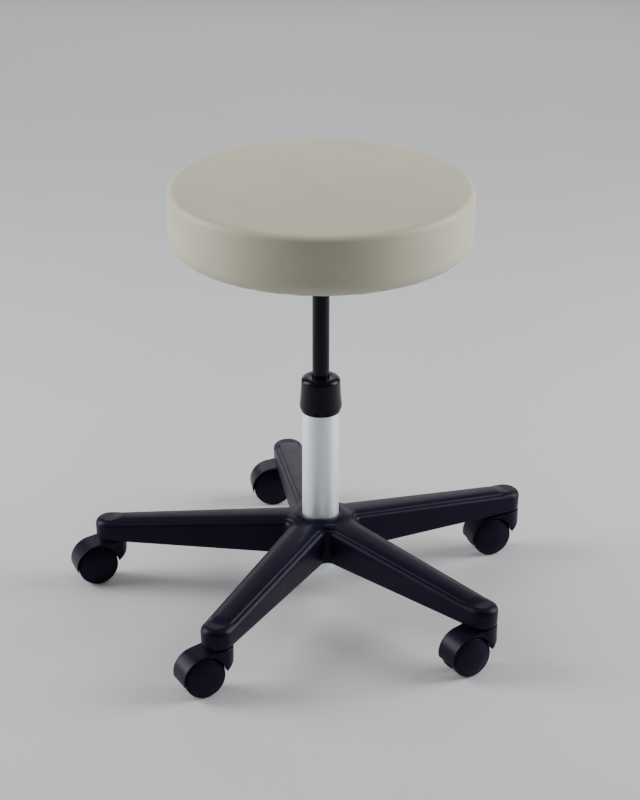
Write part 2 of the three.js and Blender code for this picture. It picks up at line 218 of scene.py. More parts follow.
def carved(obj, operation, *tools):
    """Joins, cuts or intersects the object with tools, which are then gone."""
    for tool in tools:
        change = obj.modifiers.new(operation, "BOOLEAN")
        change.operation = operation
        change.solver = "EXACT"
        change.object = tool
    worked_in(obj)
    for tool in tools:
        bpy.data.objects.remove(tool)
    return obj


def dress(obj, body, slot, *nodes, finish=None):
    """Puts a finished piece on its body, in its material, in place of the CAD nodes it is for."""
    obj.data.materials.clear()
    obj.data.materials.append(materials[finish or slot])
    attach(obj, body)
    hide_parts(*nodes)
    return obj


# ---- Materials ------------------------------------------------------------------------------


class Finish:
    """A principled material built from nodes that read the object's own coordinates, in metres."""

    def __init__(self, name, **constants):
        self.material = bpy.data.materials.new(name)
        self.material.use_nodes = True
        self.tree = self.material.node_tree
        self.shader = self.tree.nodes["Principled BSDF"]
        self.place = self.tree.nodes.new("ShaderNodeTexCoord").outputs["Object"]
        for socket, value in constants.items():
            self.shader.inputs[socket.replace("_", " ")].default_value = value

    def node(self, kind, inputs=None, **settings):
        made = self.tree.nodes.new("ShaderNode" + kind)
        for key, value in settings.items():
            setattr(made, key, value)
        for key, value in (inputs or {}).items():
            if isinstance(value, bpy.types.NodeSocket):
                self.tree.links.new(value, made.inputs[key])
            else:
                made.inputs[key].default_value = value
        return made

    def stretched(self, x, y, z):
        inputs = {0: self.place, 1: (x, y, z)}
        return self.node("VectorMath", inputs, operation="MULTIPLY").outputs[0]

    def noise(self, size, detail=3, vector=None):
        """Cloudy noise from 0 to 1 whose blobs are about `size` millimetres across."""
        inputs = {"Vector": vector or self.place, "Scale": 1 / (size * MM), "Detail": detail}
        return self.node("TexNoise", inputs).outputs["Fac"]

    def cells(self, size, feature="F1", vector=None):
        inputs = {"Vector": vector or self.place, "Scale": 1 / (size * MM)}
        return self.node("TexVoronoi", inputs, feature=feature).outputs["Distance"]

    def fit(self, value, low, high, to_low, to_high):
        inputs = {0: value, 1: low, 2: high, 3: to_low, 4: to_high}
        return self.node("MapRange", inputs, clamp=True).outputs[0]

    def maths(self, operation, a, b):
        return self.node("Math", {0: a, 1: b}, operation=operation).outputs[0]

    def mix(self, share, a, b):
        made = self.node("Mix", data_type="RGBA")
        for index, value in ((0, share), (6, a), (7, b)):
            if isinstance(value, bpy.types.NodeSocket):
                self.tree.links.new(value, made.inputs[index])
            else:
                made.inputs[index].default_value = value if index == 0 else (*value, 1)
        return made.outputs[2]

    def colour(self, value):
        self.tree.links.new(value, self.shader.inputs["Base Color"])

    def roughness(self, value):
        self.tree.links.new(value, self.shader.inputs["Roughness"])

    def bump(self, height, depth, under=None):
        """Bumps `depth` millimetres deep, over any that are already there."""
        inputs = {"Height": height, "Distance": depth * MM, "Strength": 1.0}
        if under:
            inputs["Normal"] = under
        normal = self.node("Bump", inputs).outputs[0]
        self.tree.links.new(normal, self.shader.inputs["Normal"])
        return normal


def vinyl():
    """Upholstery vinyl: a fine pebbled grain, with painted shade darkening the creases between the pebbles."""
    m = Finish("vinyl", Specular_IOR_Level=0.3, Coat_Weight=0.05, Coat_Roughness=0.35)
    cloud = m.noise(90, 4)
    pebbles = m.cells(1.1, "SMOOTH_F1")
    creases = m.fit(pebbles, 0.25, 0.62, 1, 0)
    tone = m.mix(m.fit(cloud, 0.35, 0.65, 0, 1), (0.505, 0.489, 0.362), (0.54, 0.524, 0.386))
    # Painted shade: the colour is up to 12% darker in the creases between the pebbles.
    m.colour(m.mix(m.fit(creases, 0, 1, 0.12, 0), tone, (0.36, 0.35, 0.30)))
    m.roughness(m.fit(m.noise(25), 0.3, 0.7, 0.44, 0.54))
    soft = m.bump(m.noise(14, 2), 0.05)
    m.bump(creases, 0.035, soft)
    return m.material


def moulded(name, tones, rough, grain, depth, coat=0.0):
    """Moulded plastic with a spark-eroded grain, faint flow clouds and handling polish."""
    m = Finish(
        name,
        Specular_IOR_Level=0.14,
        Specular_Tint=(0.79, 0.76, 1.0, 1),
        Coat_Weight=coat,
        Coat_Roughness=0.18,
    )
    flow = m.noise(60, 4, m.stretched(1, 1, 0.4))
    m.colour(m.mix(m.fit(flow, 0.3, 0.7, 0, 1), *tones))
    polish = m.noise(22, 3)
    fine = m.noise(grain, 2)
    spread = m.maths("ADD", m.fit(polish, 0.3, 0.7, *rough), m.fit(fine, 0.3, 0.7, -0.03, 0.03))
    m.roughness(spread)
    m.bump(fine, depth)
    return m.material


def coated_steel(name, colour, rough, peel, level=0.25):
    """Steel under a smooth black coat with a little orange peel."""
    m = Finish(
        name,
        Specular_IOR_Level=level,
        Specular_Tint=(0.86, 0.84, 1.0, 1),
        Coat_Weight=0.4 * level,
        Coat_Roughness=0.1,
    )
    cloud = m.noise(40, 3)
    paler = tuple(c * 1.4 for c in colour)
    m.colour(m.mix(m.fit(cloud, 0.35, 0.65, 0, 1), colour, paler))
    m.roughness(m.fit(m.noise(6, 2), 0.3, 0.7, rough - 0.05, rough + 0.05))
    m.bump(m.noise(peel, 2), 0.02)
    return m.material


def drawn_steel(name, tones, rough, metallic, across):
    """Bare or lacquered steel with fine lines round it or along it, as `across` stretches them."""
    m = Finish(name, Metallic=metallic, Specular_IOR_Level=0.5)
    lines = m.noise(1.2, 3, m.stretched(*across))
    cloud = m.noise(35, 3)
    both = m.maths("ADD", m.fit(lines, 0.3, 0.7, 0, 0.5), m.fit(cloud, 0.3, 0.7, 0, 0.5))
    m.colour(m.mix(both, *tones))
    m.roughness(m.fit(both, 0, 1, *rough))
    m.bump(lines, 0.006)
    return m.material


def rubber():
    m = Finish("rubber", Specular_IOR_Level=0.3)
    m.colour(m.mix(m.noise(12), (0.012, 0.012, 0.012), (0.022, 0.022, 0.022)))
    m.roughness(m.fit(m.noise(5), 0.3, 0.7, 0.7, 0.9))
    m.bump(m.noise(0.7), 0.03)
    return m.material


def plywood():
    m = Finish("plywood", Specular_IOR_Level=0.3)
    grain = m.noise(4, 5, m.stretched(0.12, 1, 3))
    rings = m.noise(40, 2, m.stretched(0.2, 1, 1))
    both = m.maths("ADD", m.fit(grain, 0.3, 0.7, 0, 0.6), m.fit(rings, 0.3, 0.7, 0, 0.4))
    m.colour(m.mix(both, (0.50, 0.31, 0.14), (0.68, 0.47, 0.26)))
    m.roughness(m.fit(grain, 0.3, 0.7, 0.6, 0.8))
    m.bump(grain, 0.12)
    return m.material


def foam():
    m = Finish("foam", Specular_IOR_Level=0.1, Sheen_Weight=0.2)
    pores = m.cells(1.6)
    # Painted shade: the pores are painted darker than the foam between them.
    m.colour(m.mix(m.fit(pores, 0.1, 0.6, 0, 1), (0.60, 0.50, 0.28), (0.85, 0.76, 0.50)))
    m.roughness(m.fit(pores, 0, 0.6, 0.98, 0.9))
    m.bump(pores, 0.4)
    return m.material


# A steel's two tones, dark and pale.
ZINC = ((0.50, 0.51, 0.53), (0.66, 0.67, 0.69))
SILVER = ((0.87, 0.92, 0.99), (0.90, 0.945, 1.0))
# A plastic's two tones: a black with some blue in it, a shade darker on the wheels and the collar.
BLACK = ((0.0036, 0.0027, 0.011), (0.0055, 0.0042, 0.016))
WHEEL_BLACK = ((0.0032, 0.0024, 0.010), (0.005, 0.004, 0.015))
COLLAR_BLACK = ((0.003, 0.0025, 0.007), (0.005, 0.004, 0.010))

# One material for each of the record's slots, and two that belong to one piece each.
materials = {
    "vinyl": vinyl(),
    "foam": foam(),
    "plywood": plywood(),
    "black_steel": coated_steel("black_steel", (0.008, 0.008, 0.010), 0.28, 3),
    "bright_steel": drawn_steel("bright_steel", ZINC, (0.24, 0.38), 1, (1, 1, 0.1)),
    "satin_steel": drawn_steel("satin_steel", SILVER, (0.42, 0.50), 0.75, (0.6, 0.6, 0.02)),
    "black_plastic": moulded("black_plastic", BLACK, (0.38, 0.44), 0.8, 0.015),
    "caster_plastic": moulded("caster_plastic", BLACK, (0.30, 0.40), 1.0, 0.012),
    "wheel_plastic": moulded("wheel_plastic", WHEEL_BLACK, (0.34, 0.44), 1.0, 0.015),
    "rubber": rubber(),
    "collar_plastic": moulded("collar_plastic", COLLAR_BLACK, (0.24, 0.32), 1.2, 0.008, coat=0.1),
    "lift_black": coated_steel("lift_black", (0.002, 0.002, 0.004), 0.18, 5, 0.15),
}

for node, obj in frame["nodes"].items():
    obj.data.materials.clear()
    obj.data.materials.append(materials[slot_of[node]])


# ---- Seat -----------------------------------------------------------------------------------

seat_low, seat_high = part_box("seat_cover")
SEAT_RADIUS = seat_high.x / MM
SEAT_TOP = seat_high.z / MM
SEAT_BOTTOM = seat_low.z / MM
TOP_EDGE = 9
BOTTOM_EDGE = 22
CROWN = 0.3
HEM = 165
SKIN = 1.6
# The middle of the top is a grid with this many cells across, out to this share of the radius.
DISC_CELLS = 40
FLAT_PART = 0.55
# The skin starts this much smaller than the seat, and is then swollen by the pressure for some
# frames, no point further than the cap; the shifts are evened out over so many rounds.
SKIN_INSET = 2.0
PRESSURE = 2.5
SWELL_FRAMES = 20
SWELL_CAP = 5
EVENING_ROUNDS = 120
# The gathers fade out this high over the lower edge, and over this last stretch in to the hem.
# Their waves are how many go round, where the first starts in radians, and their share.
GATHER_HEIGHT, GATHER_REACH, GATHER_DEPTH = 14, 12, 0.9
GATHERS = ((46, 0.4, 0.5), (31, 2.1, 0.3), (19, 4.0, 0.2))


def disc_grid(cells, radius):
    """A square grid mapped onto a disc, its quads, and its rim's indices in order round it."""
    side = cells + 1
    points = []
    for j in range(side):
        for i in range(side):
            a, b = 2 * i / cells - 1, 2 * j / cells - 1
            if abs(a) > abs(b):
                r, angle = a, math.pi / 4 * b / a
            else:
                r, angle = b, math.pi / 2 - math.pi / 4 * (a / b if b else 0)
            points.append((radius * r * math.cos(angle), radius * r * math.sin(angle)))
    quads = [
        (j * side + i, j * side + i + 1, (j + 1) * side + i + 1, (j + 1) * side + i)
        for j in range(cells)
        for i in range(cells)
    ]
    rim = [k for k in range(side * side) if {k % side, k // side} & {0, cells}]
    rim.sort(key=lambda k: math.atan2(points[k][1], points[k][0]) % (2 * math.pi))
    return points, quads, rim


def cushion_profile(inset):
    """The cushion's section outside its flat middle, out over the top edge and in to the hem."""
    radius, low = SEAT_RADIUS - inset, SEAT_BOTTOM
    shoulder = SEAT_TOP - CROWN - inset
    upper = arc(radius - TOP_EDGE, shoulder - TOP_EDGE, TOP_EDGE, 84, 0, 6)
    lower = arc(radius - BOTTOM_EDGE, low + BOTTOM_EDGE, BOTTOM_EDGE, 0, -90, 9)
    start = SEAT_RADIUS * FLAT_PART
    reach = radius - TOP_EDGE
    top = [
        (r, SEAT_TOP - inset - CROWN * ((r - start) / (reach - start)) ** 2)
        for r in np.linspace(start, reach - 3, 12)
    ]
    side_steps = np.linspace(upper[-1][1], lower[0][1], 10)[1:-1]
    side = [(radius, z) for z in side_steps]
    under = [(r, low) for r in np.linspace(radius - BOTTOM_EDGE, HEM, 4)[1:]]
    return top + upper + side + lower + under


def cushion_skin(inset):
    """The cover's outer face: a grid over the middle of the top, then rings down to the hem."""
    profile = cushion_profile(inset)
    points, quads, rim = disc_grid(DISC_CELLS, profile[0][0])
    verts = [(x, y, SEAT_TOP - inset) for x, y in points]
    ring = rim
    count = len(rim)
    for r, z in profile[1:]:
        first = len(verts)
        angles = [2 * math.pi * k / count for k in range(count)]
        verts += [(r * math.cos(a), r * math.sin(a), z) for a in angles]
        after = list(range(first, first + count))
        for k in range(count):
            m = (k + 1) % count
            quads.append((ring[k], after[k], after[m], ring[m]))
        ring = after
    return verts, quads


def inflated(obj, pressure, pinned_below, cap):
    """Swells the skin by cloth simulation, held at the hem, and lets no point move past the cap."""
    rest = points_of(obj)
    pins = obj.vertex_groups.new(name="hem")
    pins.add([int(i) for i in np.flatnonzero(rest[:, 2] < pinned_below)], 1.0, "REPLACE")
    cloth = obj.modifiers.new("cloth", "CLOTH").settings
    cloth.quality = 12
    cloth.mass = 0.4
    cloth.tension_stiffness = cloth.compression_stiffness = 1500
    cloth.shear_stiffness = 750
    cloth.bending_stiffness = 20
    cloth.use_pressure = True
    cloth.uniform_pressure_force = pressure
    cloth.vertex_group_mass = "hem"
    cloth.effector_weights.gravity = 0
    scene = bpy.context.scene
    for step in range(1, SWELL_FRAMES + 1):
        scene.frame_set(step)
    worked_in(obj)
    scene.frame_set(1)
    shift = points_of(obj) - rest
    length = np.linalg.norm(shift, axis=1, keepdims=True)
    shift *= np.minimum(1, cap / np.maximum(length, 1e-9))
    obj.data.vertices.foreach_set("co", (rest + evened(obj, shift, EVENING_ROUNDS)).ravel())


def evened(obj, shift, rounds):
    """The shifts of a mesh's points, each drawn towards its neighbours' again and again."""
    ends = np.zeros(len(obj.data.edges) * 2, int)
    obj.data.edges.foreach_get("vertices", ends)
    a, b = ends.reshape(-1, 2).T
    held = np.linalg.norm(shift, axis=1) < 1e-9
    neighbours = np.bincount(ends, minlength=len(shift))[:, None]
    for _ in range(rounds):
        total = np.zeros_like(shift)
        np.add.at(total, a, shift[b])
        np.add.at(total, b, shift[a])
        shift = np.where(held[:, None], 0, (shift + total / neighbours) / 2)
    return shift


def gathered(obj):
    """Small gathers where the cover is pulled round the lower edge to its staples."""
    points = points_of(obj)
    angle = np.arctan2(points[:, 1], points[:, 0])
    reach = np.hypot(points[:, 0], points[:, 1])
    fade = np.clip((SEAT_BOTTOM + GATHER_HEIGHT - points[:, 2] / MM) / GATHER_HEIGHT, 0, 1) ** 2
    fade *= np.clip((reach / MM - HEM) / GATHER_REACH, 0, 1)
    wave = sum(np.sin(angle * n + phase) * share for n, phase, share in GATHERS)
    depth = GATHER_DEPTH * MM * fade * wave
    points[:, 2] += depth * 0.8
    points[:, 0] -= depth * 0.5 * np.cos(angle)
    points[:, 1] -= depth * 0.5 * np.sin(angle)
    obj.data.vertices.foreach_set("co", points.ravel())


def fitted(obj):
    """Scales the cushion so that its top and its widest place are where the CAD has them."""
    points = points_of(obj)
    widest = np.hypot(points[:, 0], points[:, 1]).max()
    low, high = points[:, 2].min(), points[:, 2].max()
    points[:, :2] *= SEAT_RADIUS * MM / widest
    rise = (points[:, 2] - low) * (SEAT_TOP - SEAT_BOTTOM) * MM / (high - low)
    points[:, 2] = SEAT_BOTTOM * MM + rise
    obj.data.vertices.foreach_set("co", points.ravel())


def add_cushion():
    obj = solid("seat_cushion", cushion_skin(SKIN_INSET), sharp=80)
    inflated(obj, PRESSURE, pinned_below=(SEAT_BOTTOM + 1) * MM, cap=SWELL_CAP * MM)
    fitted(obj)
    gathered(obj)
    skin = obj.modifiers.new("skin", "SOLIDIFY")
    skin.thickness = SKIN * MM
    skin.offset = -1
    finer = obj.modifiers.new("finer", "SUBSURF")
    finer.levels = finer.render_levels = 1
    worked_in(obj)
    obj.data.shade_smooth()
    dress(obj, "seat_carrier", "vinyl", "seat_cover")


def add_foam():
    """The moulded foam, just inside the skin and resting on the board."""
    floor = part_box("seat_board")[1].z / MM + 0.3
    clear = SKIN + 3
    outline = [
        (0, SEAT_TOP - clear),
        (SEAT_RADIUS * 0.4, SEAT_TOP - clear),
        (SEAT_RADIUS - clear, SEAT_TOP - clear - 3, TOP_EDGE),
        (SEAT_RADIUS - clear, floor, 8),
        (0, floor),
    ]
    foam_core = solid("foam_core", lathe(rounded(outline), 128))
    dress(foam_core, "seat_carrier", "foam", "seat_foam")


# ---- Under the seat -------------------------------------------------------------------------

lever_axis = Vector(joints["lever_lift"]["axis"])
lever_pivot = Vector(joints["lever_lift"]["pos_m"]) / MM
lever_turn = Matrix.Rotation(math.atan2(lever_axis.x, -lever_axis.y), 4, "Z")
PIVOT_OUT = math.hypot(lever_pivot.x, lever_pivot.y)
PIVOT_HEIGHT = lever_pivot.z
ACROSS = Matrix.Rotation(math.pi / 2, 4, "X")


def add_bracket():
    """A pressed plate with a folded channel under it, in the lever's own direction."""
    low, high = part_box("seat_bracket")
    bottom, top = low.z / MM, high.z / MM
    plate, half, channel = 3, 76, 24
    hole = 17.3
    corners = [(-half, -half, 14), (half, -half, 14), (half, half, 14), (-half, half, 14)]
    sheet = prism(rounded(corners, closed=True), top - plate, top, "z")
    under = top - plate
    outer = [(-channel - 12, under), (-channel - 12, under - 2), (-channel, under - 2, 2)]
    outer += [(-channel, bottom, 5), (channel, bottom, 5), (channel, under - 2, 2)]
    outer += [(channel + 12, under - 2), (channel + 12, under), (channel - 2, under, 3)]
    outer += [(channel - 2, bottom + 2, 3), (2 - channel, bottom + 2, 3), (2 - channel, under, 3)]
    fold = prism(rounded(outer, closed=True), -34, 42, "x")
    web = [(1 - channel, bottom + 1), (channel - 1, bottom + 1)]
    web += [(channel - 1, under + 1), (1 - channel, under + 1)]
    back = prism(web, -33.9, -32, "x")
    bore = lathe([(0, bottom - 5), (hole, bottom - 5), (hole, bottom + 6), (0, bottom + 6)], 64)
    obj = solid("bracket", fold, lever_turn, sharp=30)
    carved(obj, "DIFFERENCE", solid("bore", bore))
    carved(obj, "UNION", solid("sheet", sheet, lever_turn), solid("back", back, lever_turn))
    edge = obj.modifiers.new("edge", "BEVEL")
    edge.width = 0.5 * MM
    edge.segments = 2
    edge.limit_method = "ANGLE"
    edge.angle_limit = math.radians(50)
    worked_in(obj)
    dress(obj, "seat_carrier", "black_steel", "seat_bracket")


def add_socket():
    low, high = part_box("taper_socket")
    bottom, top = low.z / MM, high.z / MM
    bore = 11.9
    section = [(bore, bottom, 0.6), (bore, top, 0.6), (20, top, 0.6), (20, top - 3, 0.6)]
    section += [(17, top - 3, 0.4), (15.2, bottom, 1)]
    obj = solid("socket", lathe(rounded(section, closed=True), 72, closed=True))
    dress(obj, "seat_carrier", "black_steel", "taper_socket")


def add_bolts():
    """Hexagon screws with washers, through the bracket's plate into the board."""
    washer_thick = 0.8
    for n in range(1, 5):
        low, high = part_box(f"seat_bolt_{n}")
        x, y = (low.x + high.x) / 2, (low.y + high.y) / 2
        bottom, top = low.z / MM, high.z / MM
        seat = bottom + 3.5
        low = seat - washer_thick
        head = lathe([(0, bottom), (4.4, bottom), (5.2, bottom + 0.5), (5.2, low), (0, low)], 6)
        section = [(3.1, low), (7, low, 0.3), (7, seat, 0.3), (3.1, seat)]
        washer = lathe(rounded(section, closed=True), 48, closed=True)
        shank = lathe([(0, seat - 1), (3, seat - 1), (3, top - 1), (2, top), (0, top)], 24)
        obj = solid(f"bolt_{n}", together(head, washer, shank), Matrix.Translation((x, y, 0)))
        dress(obj, "seat_carrier", "bright_steel", f"seat_bolt_{n}")


def add_lever():
    """The bent lever bar with its pivot eye, the paddle grip on its end, and the pivot pin."""
    low, high = PIVOT_HEIGHT - 28, PIVOT_HEIGHT
    bends = [(-7, high), (52, high - 3, 40), (148, low, 40), (222, low)]
    bar = swept(rounded(bends, step=4), 4)
    eye_half = 8
    eye_section = [(3.3, -eye_half, 0.6), (7.5, -eye_half, 0.8)]
    eye_section += [(7.5, eye_half, 0.8), (3.3, eye_half, 0.6)]
    eye = lathe(rounded(eye_section, closed=True), 40, closed=True)
    eye = turned_to(eye, Matrix.Translation((PIVOT_OUT, 0, PIVOT_HEIGHT)) @ ACROSS)
    obj = solid("lever_rod", together(bar, eye), lever_turn)
    dress(obj, "lever", "black_steel", "lever_bar")

    pin_half = 26
    pin_section = [(0, -pin_half), (3, -pin_half, 0.8), (3, pin_half, 0.8), (0, pin_half)]
    pin = lathe(rounded(pin_section), 32)
    pin = turned_to(pin, Matrix.Translation((PIVOT_OUT, 0, PIVOT_HEIGHT)) @ ACROSS)
    dress(solid("pivot_pin", pin, lever_turn), "seat_carrier", "bright_steel", "lever_pin")

    grip = solid("paddle", paddle(low), lever_turn, sharp=60)
    dress(grip, "lever", "black_plastic", "lever_grip")


def paddle(height):
    """The grip: rounded sections lofted along the bar, wide and flat in the middle.

    A station is a distance out, and half the width and half the thickness there.
    """
    stations = [(166, 4, 4), (166.6, 6, 5.2), (169, 7, 5.9), (176, 9.6, 6.2), (184, 12.2, 6.4)]
    stations += [(196, 13, 6.3), (212, 13, 5.8), (226, 12.4, 5), (231, 11, 4), (234, 8.5, 2.6)]
    stations += [(235, 5, 1.2)]
    sides = 40
    verts = []
    for x, width, thick in stations:
        for k in range(sides):
            a = 2 * math.pi * k / sides
            c, s = math.cos(a), math.sin(a)
            y = width * math.copysign(abs(c) ** 0.7, c)
            z = thick * math.copysign(abs(s) ** 0.7, s)
            verts.append((x, y, height + z))
    return stacked(verts, sides)


# ---- Column ---------------------------------------------------------------------------------


def add_column():
    tube_low, tube_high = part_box("column_tube")
    foot, head = tube_low.z / MM, tube_high.z / MM
    radius = tube_high.x / MM
    foot_radius = 20.5
    wall = 2
    taper_low, taper_high = 65, 120
    section = [
        (4.6, foot, 0.4),
        (4.6, foot + 3, 0.4),
        (foot_radius - wall, foot + 3, 1),
        (radius - 1 - wall, taper_low),
        (radius - wall, taper_high),
        (radius - wall, head, 0.4),
        (radius, head, 0.8),
        (radius, taper_high),
        (radius - 1, taper_low, 2),
        (foot_radius + 1, foot + 1.5, 1),
        (foot_radius, foot, 1),
    ]
    tube = solid("lift_tube", lathe(rounded(section, closed=True), 128, closed=True), sharp=50)
    dress(tube, "root", "satin_steel", "column_tube")

    collar_low, collar_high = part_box("column_collar")
    lip, top = collar_low.z / MM, collar_high.z / MM
    shelf = head + 0.3
    section = [
        (radius + 0.3, lip, 0.3),
        (radius + 0.3, shelf, 0.5),
        (12, shelf, 0.3),
        (12, top, 0.5),
        (19, top + 0.4, 20),
        (26.2, top - 0.6, 5.5),
        (27.2, lip + 26, 60),
        (28.9, lip + 8, 9),
        (26.4, lip, 1.2),
    ]
    shape = lathe(rounded(section, closed=True, step=9), 128, closed=True)
    collar = solid("collar", shape, sharp=50)
    dress(collar, "root", "black_plastic", "column_collar", finish="collar_plastic")

    rod_low, rod_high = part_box("gas_cylinder")
    low, high, r = rod_low.z / MM, rod_high.z / MM, rod_high.x / MM
    section = [
        (r - 1.4, low, 0.3),
        (r - 1.4, high - 14, 1),
        (4.3, high - 14, 0.4),
        (4.3, high, 0.4),
        (r - 1, high, 0.6),
        (r, high - 3, 2),
        (r, low, 0.5),
    ]
    rod = solid("lift_rod", lathe(rounded(section, closed=True), 96, closed=True), sharp=50)
    dress(rod, "seat_carrier", slot_of["gas_cylinder"], "gas_cylinder", finish="lift_black")


# ---- Base -----------------------------------------------------------------------------------

stems = [Vector(joints[f"caster_{n}_swivel"]["pos_m"]) / MM for n in range(1, 6)]
leg_angles = [math.atan2(s.y, s.x) for s in stems]
STEM_OUT = math.hypot(stems[0].x, stems[0].y)
base_low, base_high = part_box("base")
HALF_STEP = math.pi / len(stems)

ROOT_HALF, TIP_HALF = 27, 21.5
ROOT_LEDGE, TIP_LEDGE = 122, 91.6
ROOT_BOTTOM, TIP_BOTTOM = 70, base_low.z / MM
CREST, TIP_CREST = 4.2, 2.3
LEDGE = 6.4
CAP = 9.5
CORNER = 9
# The tip has no ledge. Its shape holds to this far in from the stem, and fades over this much.
TIP_FULL, TIP_BLEND = 2, 15
# Nearer the hub than this, the crown's middle line and the cavity's open out round the hub.
CREST_END, CAVITY_END = 80, 90
CREST_HUB, CAVITY_HUB = 39, 38
HUB_TOP = base_high.z / MM
BORE, THROAT, SHOULDER = 28.6, 25.5, 120.6
# Ribs across the cavity, as distance out.
RIBS = (124, 198, 270)

# The leg's section from the foot of the crown out over the ledge's soft edge to the top of its
# side, as distance in from the outline and height over the ledge.
LEDGE_SECTION = [
    (6.4, 0.15), (6.1, -0.1), (5.6, -0.18), (5.0, -0.24), (4.3, -0.38), (3.6, -0.62), (2.9, -1.0),
    (2.3, -1.45), (1.75, -2.0), (1.25, -2.7), (0.8, -3.5), (0.42, -4.5), (0.15, -5.6), (0.0, -7.0),
]  # fmt: skip
# Where the crown's rings run, as share of the way from the leg's middle to the crown's foot.
CROWN_STEPS = (0, 0.2, 0.4, 0.55, 0.68, 0.78, 0.86, 0.92, 0.96, 0.985)
# Down the side, as share of the way from the ledge to the bottom.
SIDE_SECTION = [(0.35, 0.1), (0.55, 0.3), (0.8, 0.6)]
# Round the lower lip and up inside, as distance in and height over the bottom.
LIP_SECTION = [(0.95, 1.4), (1.25, 0.5), (1.9, 0.0), (3.3, 0.0), (3.9, 0.4), (4.1, 1.2)]
# The cavity's wall and the edge of its roof, as distance in and height over the ledge.
CAVITY_SECTION = [(4.6, -18.0), (5.2, -9.0), (6.6, -5.6), (9.0, -4.4)]


def smoothstep(t):
    t = np.clip(t, 0, 1)
    return t * t * (3 - 2 * t)


def drawn_in(out, start, limit, hub):
    """A distance out, but below the limit stretched so that `start` comes to the hub's radius."""
    return out if out >= limit else hub + (limit - hub) * (out - start) / (limit - start)


def half_leg():
    """One side of a leg's outline from its tip to the corner with the next leg, in plan.

    Each row is a point, the outline's normal there, how far in along the leg's middle or round
    the hub its inner end lies (for the crown and for the cavity), and its share of the tip's shape.
    """
    slope = (ROOT_HALF - TIP_HALF) / STEM_OUT
    tilt = math.atan(slope)
    normal = np.array((math.sin(tilt), math.cos(tilt)))
    tip_radius = TIP_HALF * math.cos(tilt)
    tip = np.array((STEM_OUT, 0.0))
    between = np.array((math.cos(HALF_STEP), math.sin(HALF_STEP)))
    reach = (ROOT_HALF + CORNER / math.cos(tilt)) / (between[1] + slope * between[0])
    corner = reach * between
    side_out = tip + tip_radius * normal
    side_in = corner - CORNER * normal
    rows = []
    for angle in np.linspace(0, math.pi / 2 - tilt, 13):
        out = np.array((math.cos(angle), math.sin(angle)))
        rows.append((tip + tip_radius * out, out, STEM_OUT, STEM_OUT, 0.0, 1.0))
    near_tip = 0.14
    finer, coarser = np.linspace(0, near_tip, 17)[1:], np.linspace(near_tip, 1, 27)[1:]
    for t in np.concatenate([finer, coarser]):
        p = side_out + t * (side_in - side_out)
        crest = drawn_in(p[0], side_in[0], CREST_END, CREST_HUB)
        cavity = drawn_in(p[0], side_in[0], CAVITY_END, CAVITY_HUB)
        share = float(smoothstep((p[0] - (STEM_OUT - TIP_FULL - TIP_BLEND)) / TIP_BLEND))
        rows.append((p, normal, crest, cavity, 0.0, share))
    start = math.atan2(-normal[1], -normal[0])
    end = HALF_STEP - math.pi
    for t in np.linspace(0, 1, 9)[1:]:
        angle = start + t * (end - start)
        out = np.array((math.cos(angle), math.sin(angle)))
        rows.append((corner + CORNER * out, -out, CREST_HUB, CAVITY_HUB, t * HALF_STEP, 0.0))
    return rows


def star_outline():
    """The whole star's outline as arrays, leg by leg."""
    half = half_leg()
    mirror = np.array((1, -1))
    rows = [(p * mirror, n * mirror, c, h, -a, s) for p, n, c, h, a, s in half[-2:0:-1]] + half
    star = {k: [] for k in ("point", "normal", "leg", "crest", "cavity", "share", "hub")}
    for leg in leg_angles:
        turn = np.array(((math.cos(leg), -math.sin(leg)), (math.sin(leg), math.cos(leg))))
        for p, n, crest, cavity, swing, share in rows:
            way = np.array((math.cos(leg + swing), math.sin(leg + swing)))
            star["point"].append(turn @ p)
            star["normal"].append(turn @ n)
            star["leg"].append((math.cos(leg), math.sin(leg)))
            star["crest"].append(crest * way)
            star["cavity"].append(cavity * way)
            star["share"].append(share)
            star["hub"].append(crest <= CREST_HUB + 1e-6)
    return {k: np.array(v) for k, v in star.items()}


def base_rings(star):
    """The star's rings of points, from the middle of the crown over the edge and in underneath."""

    def ring(plan, ledge_part, height):
        out = np.clip((plan * star["leg"]).sum(1), 0, STEM_OUT) / STEM_OUT
        ledge = ROOT_LEDGE + (TIP_LEDGE - ROOT_LEDGE) * out
        bottom = ROOT_BOTTOM + (TIP_BOTTOM - ROOT_BOTTOM) * out
        z = bottom + (ledge - bottom) * ledge_part + height
        return np.column_stack([plan, z])

    def inset(depth):
        return star["point"] - star["normal"] * np.reshape(depth, (-1, 1))

    share = star["share"]
    rings = []
    edge = inset(LEDGE + share * (CAP - LEDGE))
    for t in CROWN_STEPS:
        arch = CREST * (1 - t**2.6) ** 0.62
        height = arch + share * (TIP_CREST - arch)
        rings.append(ring(edge + (1 - t) * (star["crest"] - edge), 1, height))
    round_off = np.radians(np.linspace(90, 0, len(LEDGE_SECTION)))
    for (depth, height), a in zip(LEDGE_SECTION, round_off):
        cap_depth = CAP * (1 - math.cos(a))
        cap_height = TIP_CREST - CAP * (1 - math.sin(a))
        plan = inset(depth + share * (cap_depth - depth))
        rings.append(ring(plan, 1, height + share * (cap_height - height)))
    rings += [ring(inset(depth), 1 - part, 0) for part, depth in SIDE_SECTION]
    rings += [ring(inset(depth), 0, height) for depth, height in LIP_SECTION]
    rings += [ring(inset(depth), 1, height) for depth, height in CAVITY_SECTION]
    roof_depth, roof_height = CAVITY_SECTION[-1]
    roof = inset(roof_depth)
    for t in np.linspace(0, 1, 6)[1:]:
        plan = roof + t * (star["cavity"] - roof)
        rings.append(ring(plan, 1, roof_height + 0.6 * t * (2 - t)))
    return rings


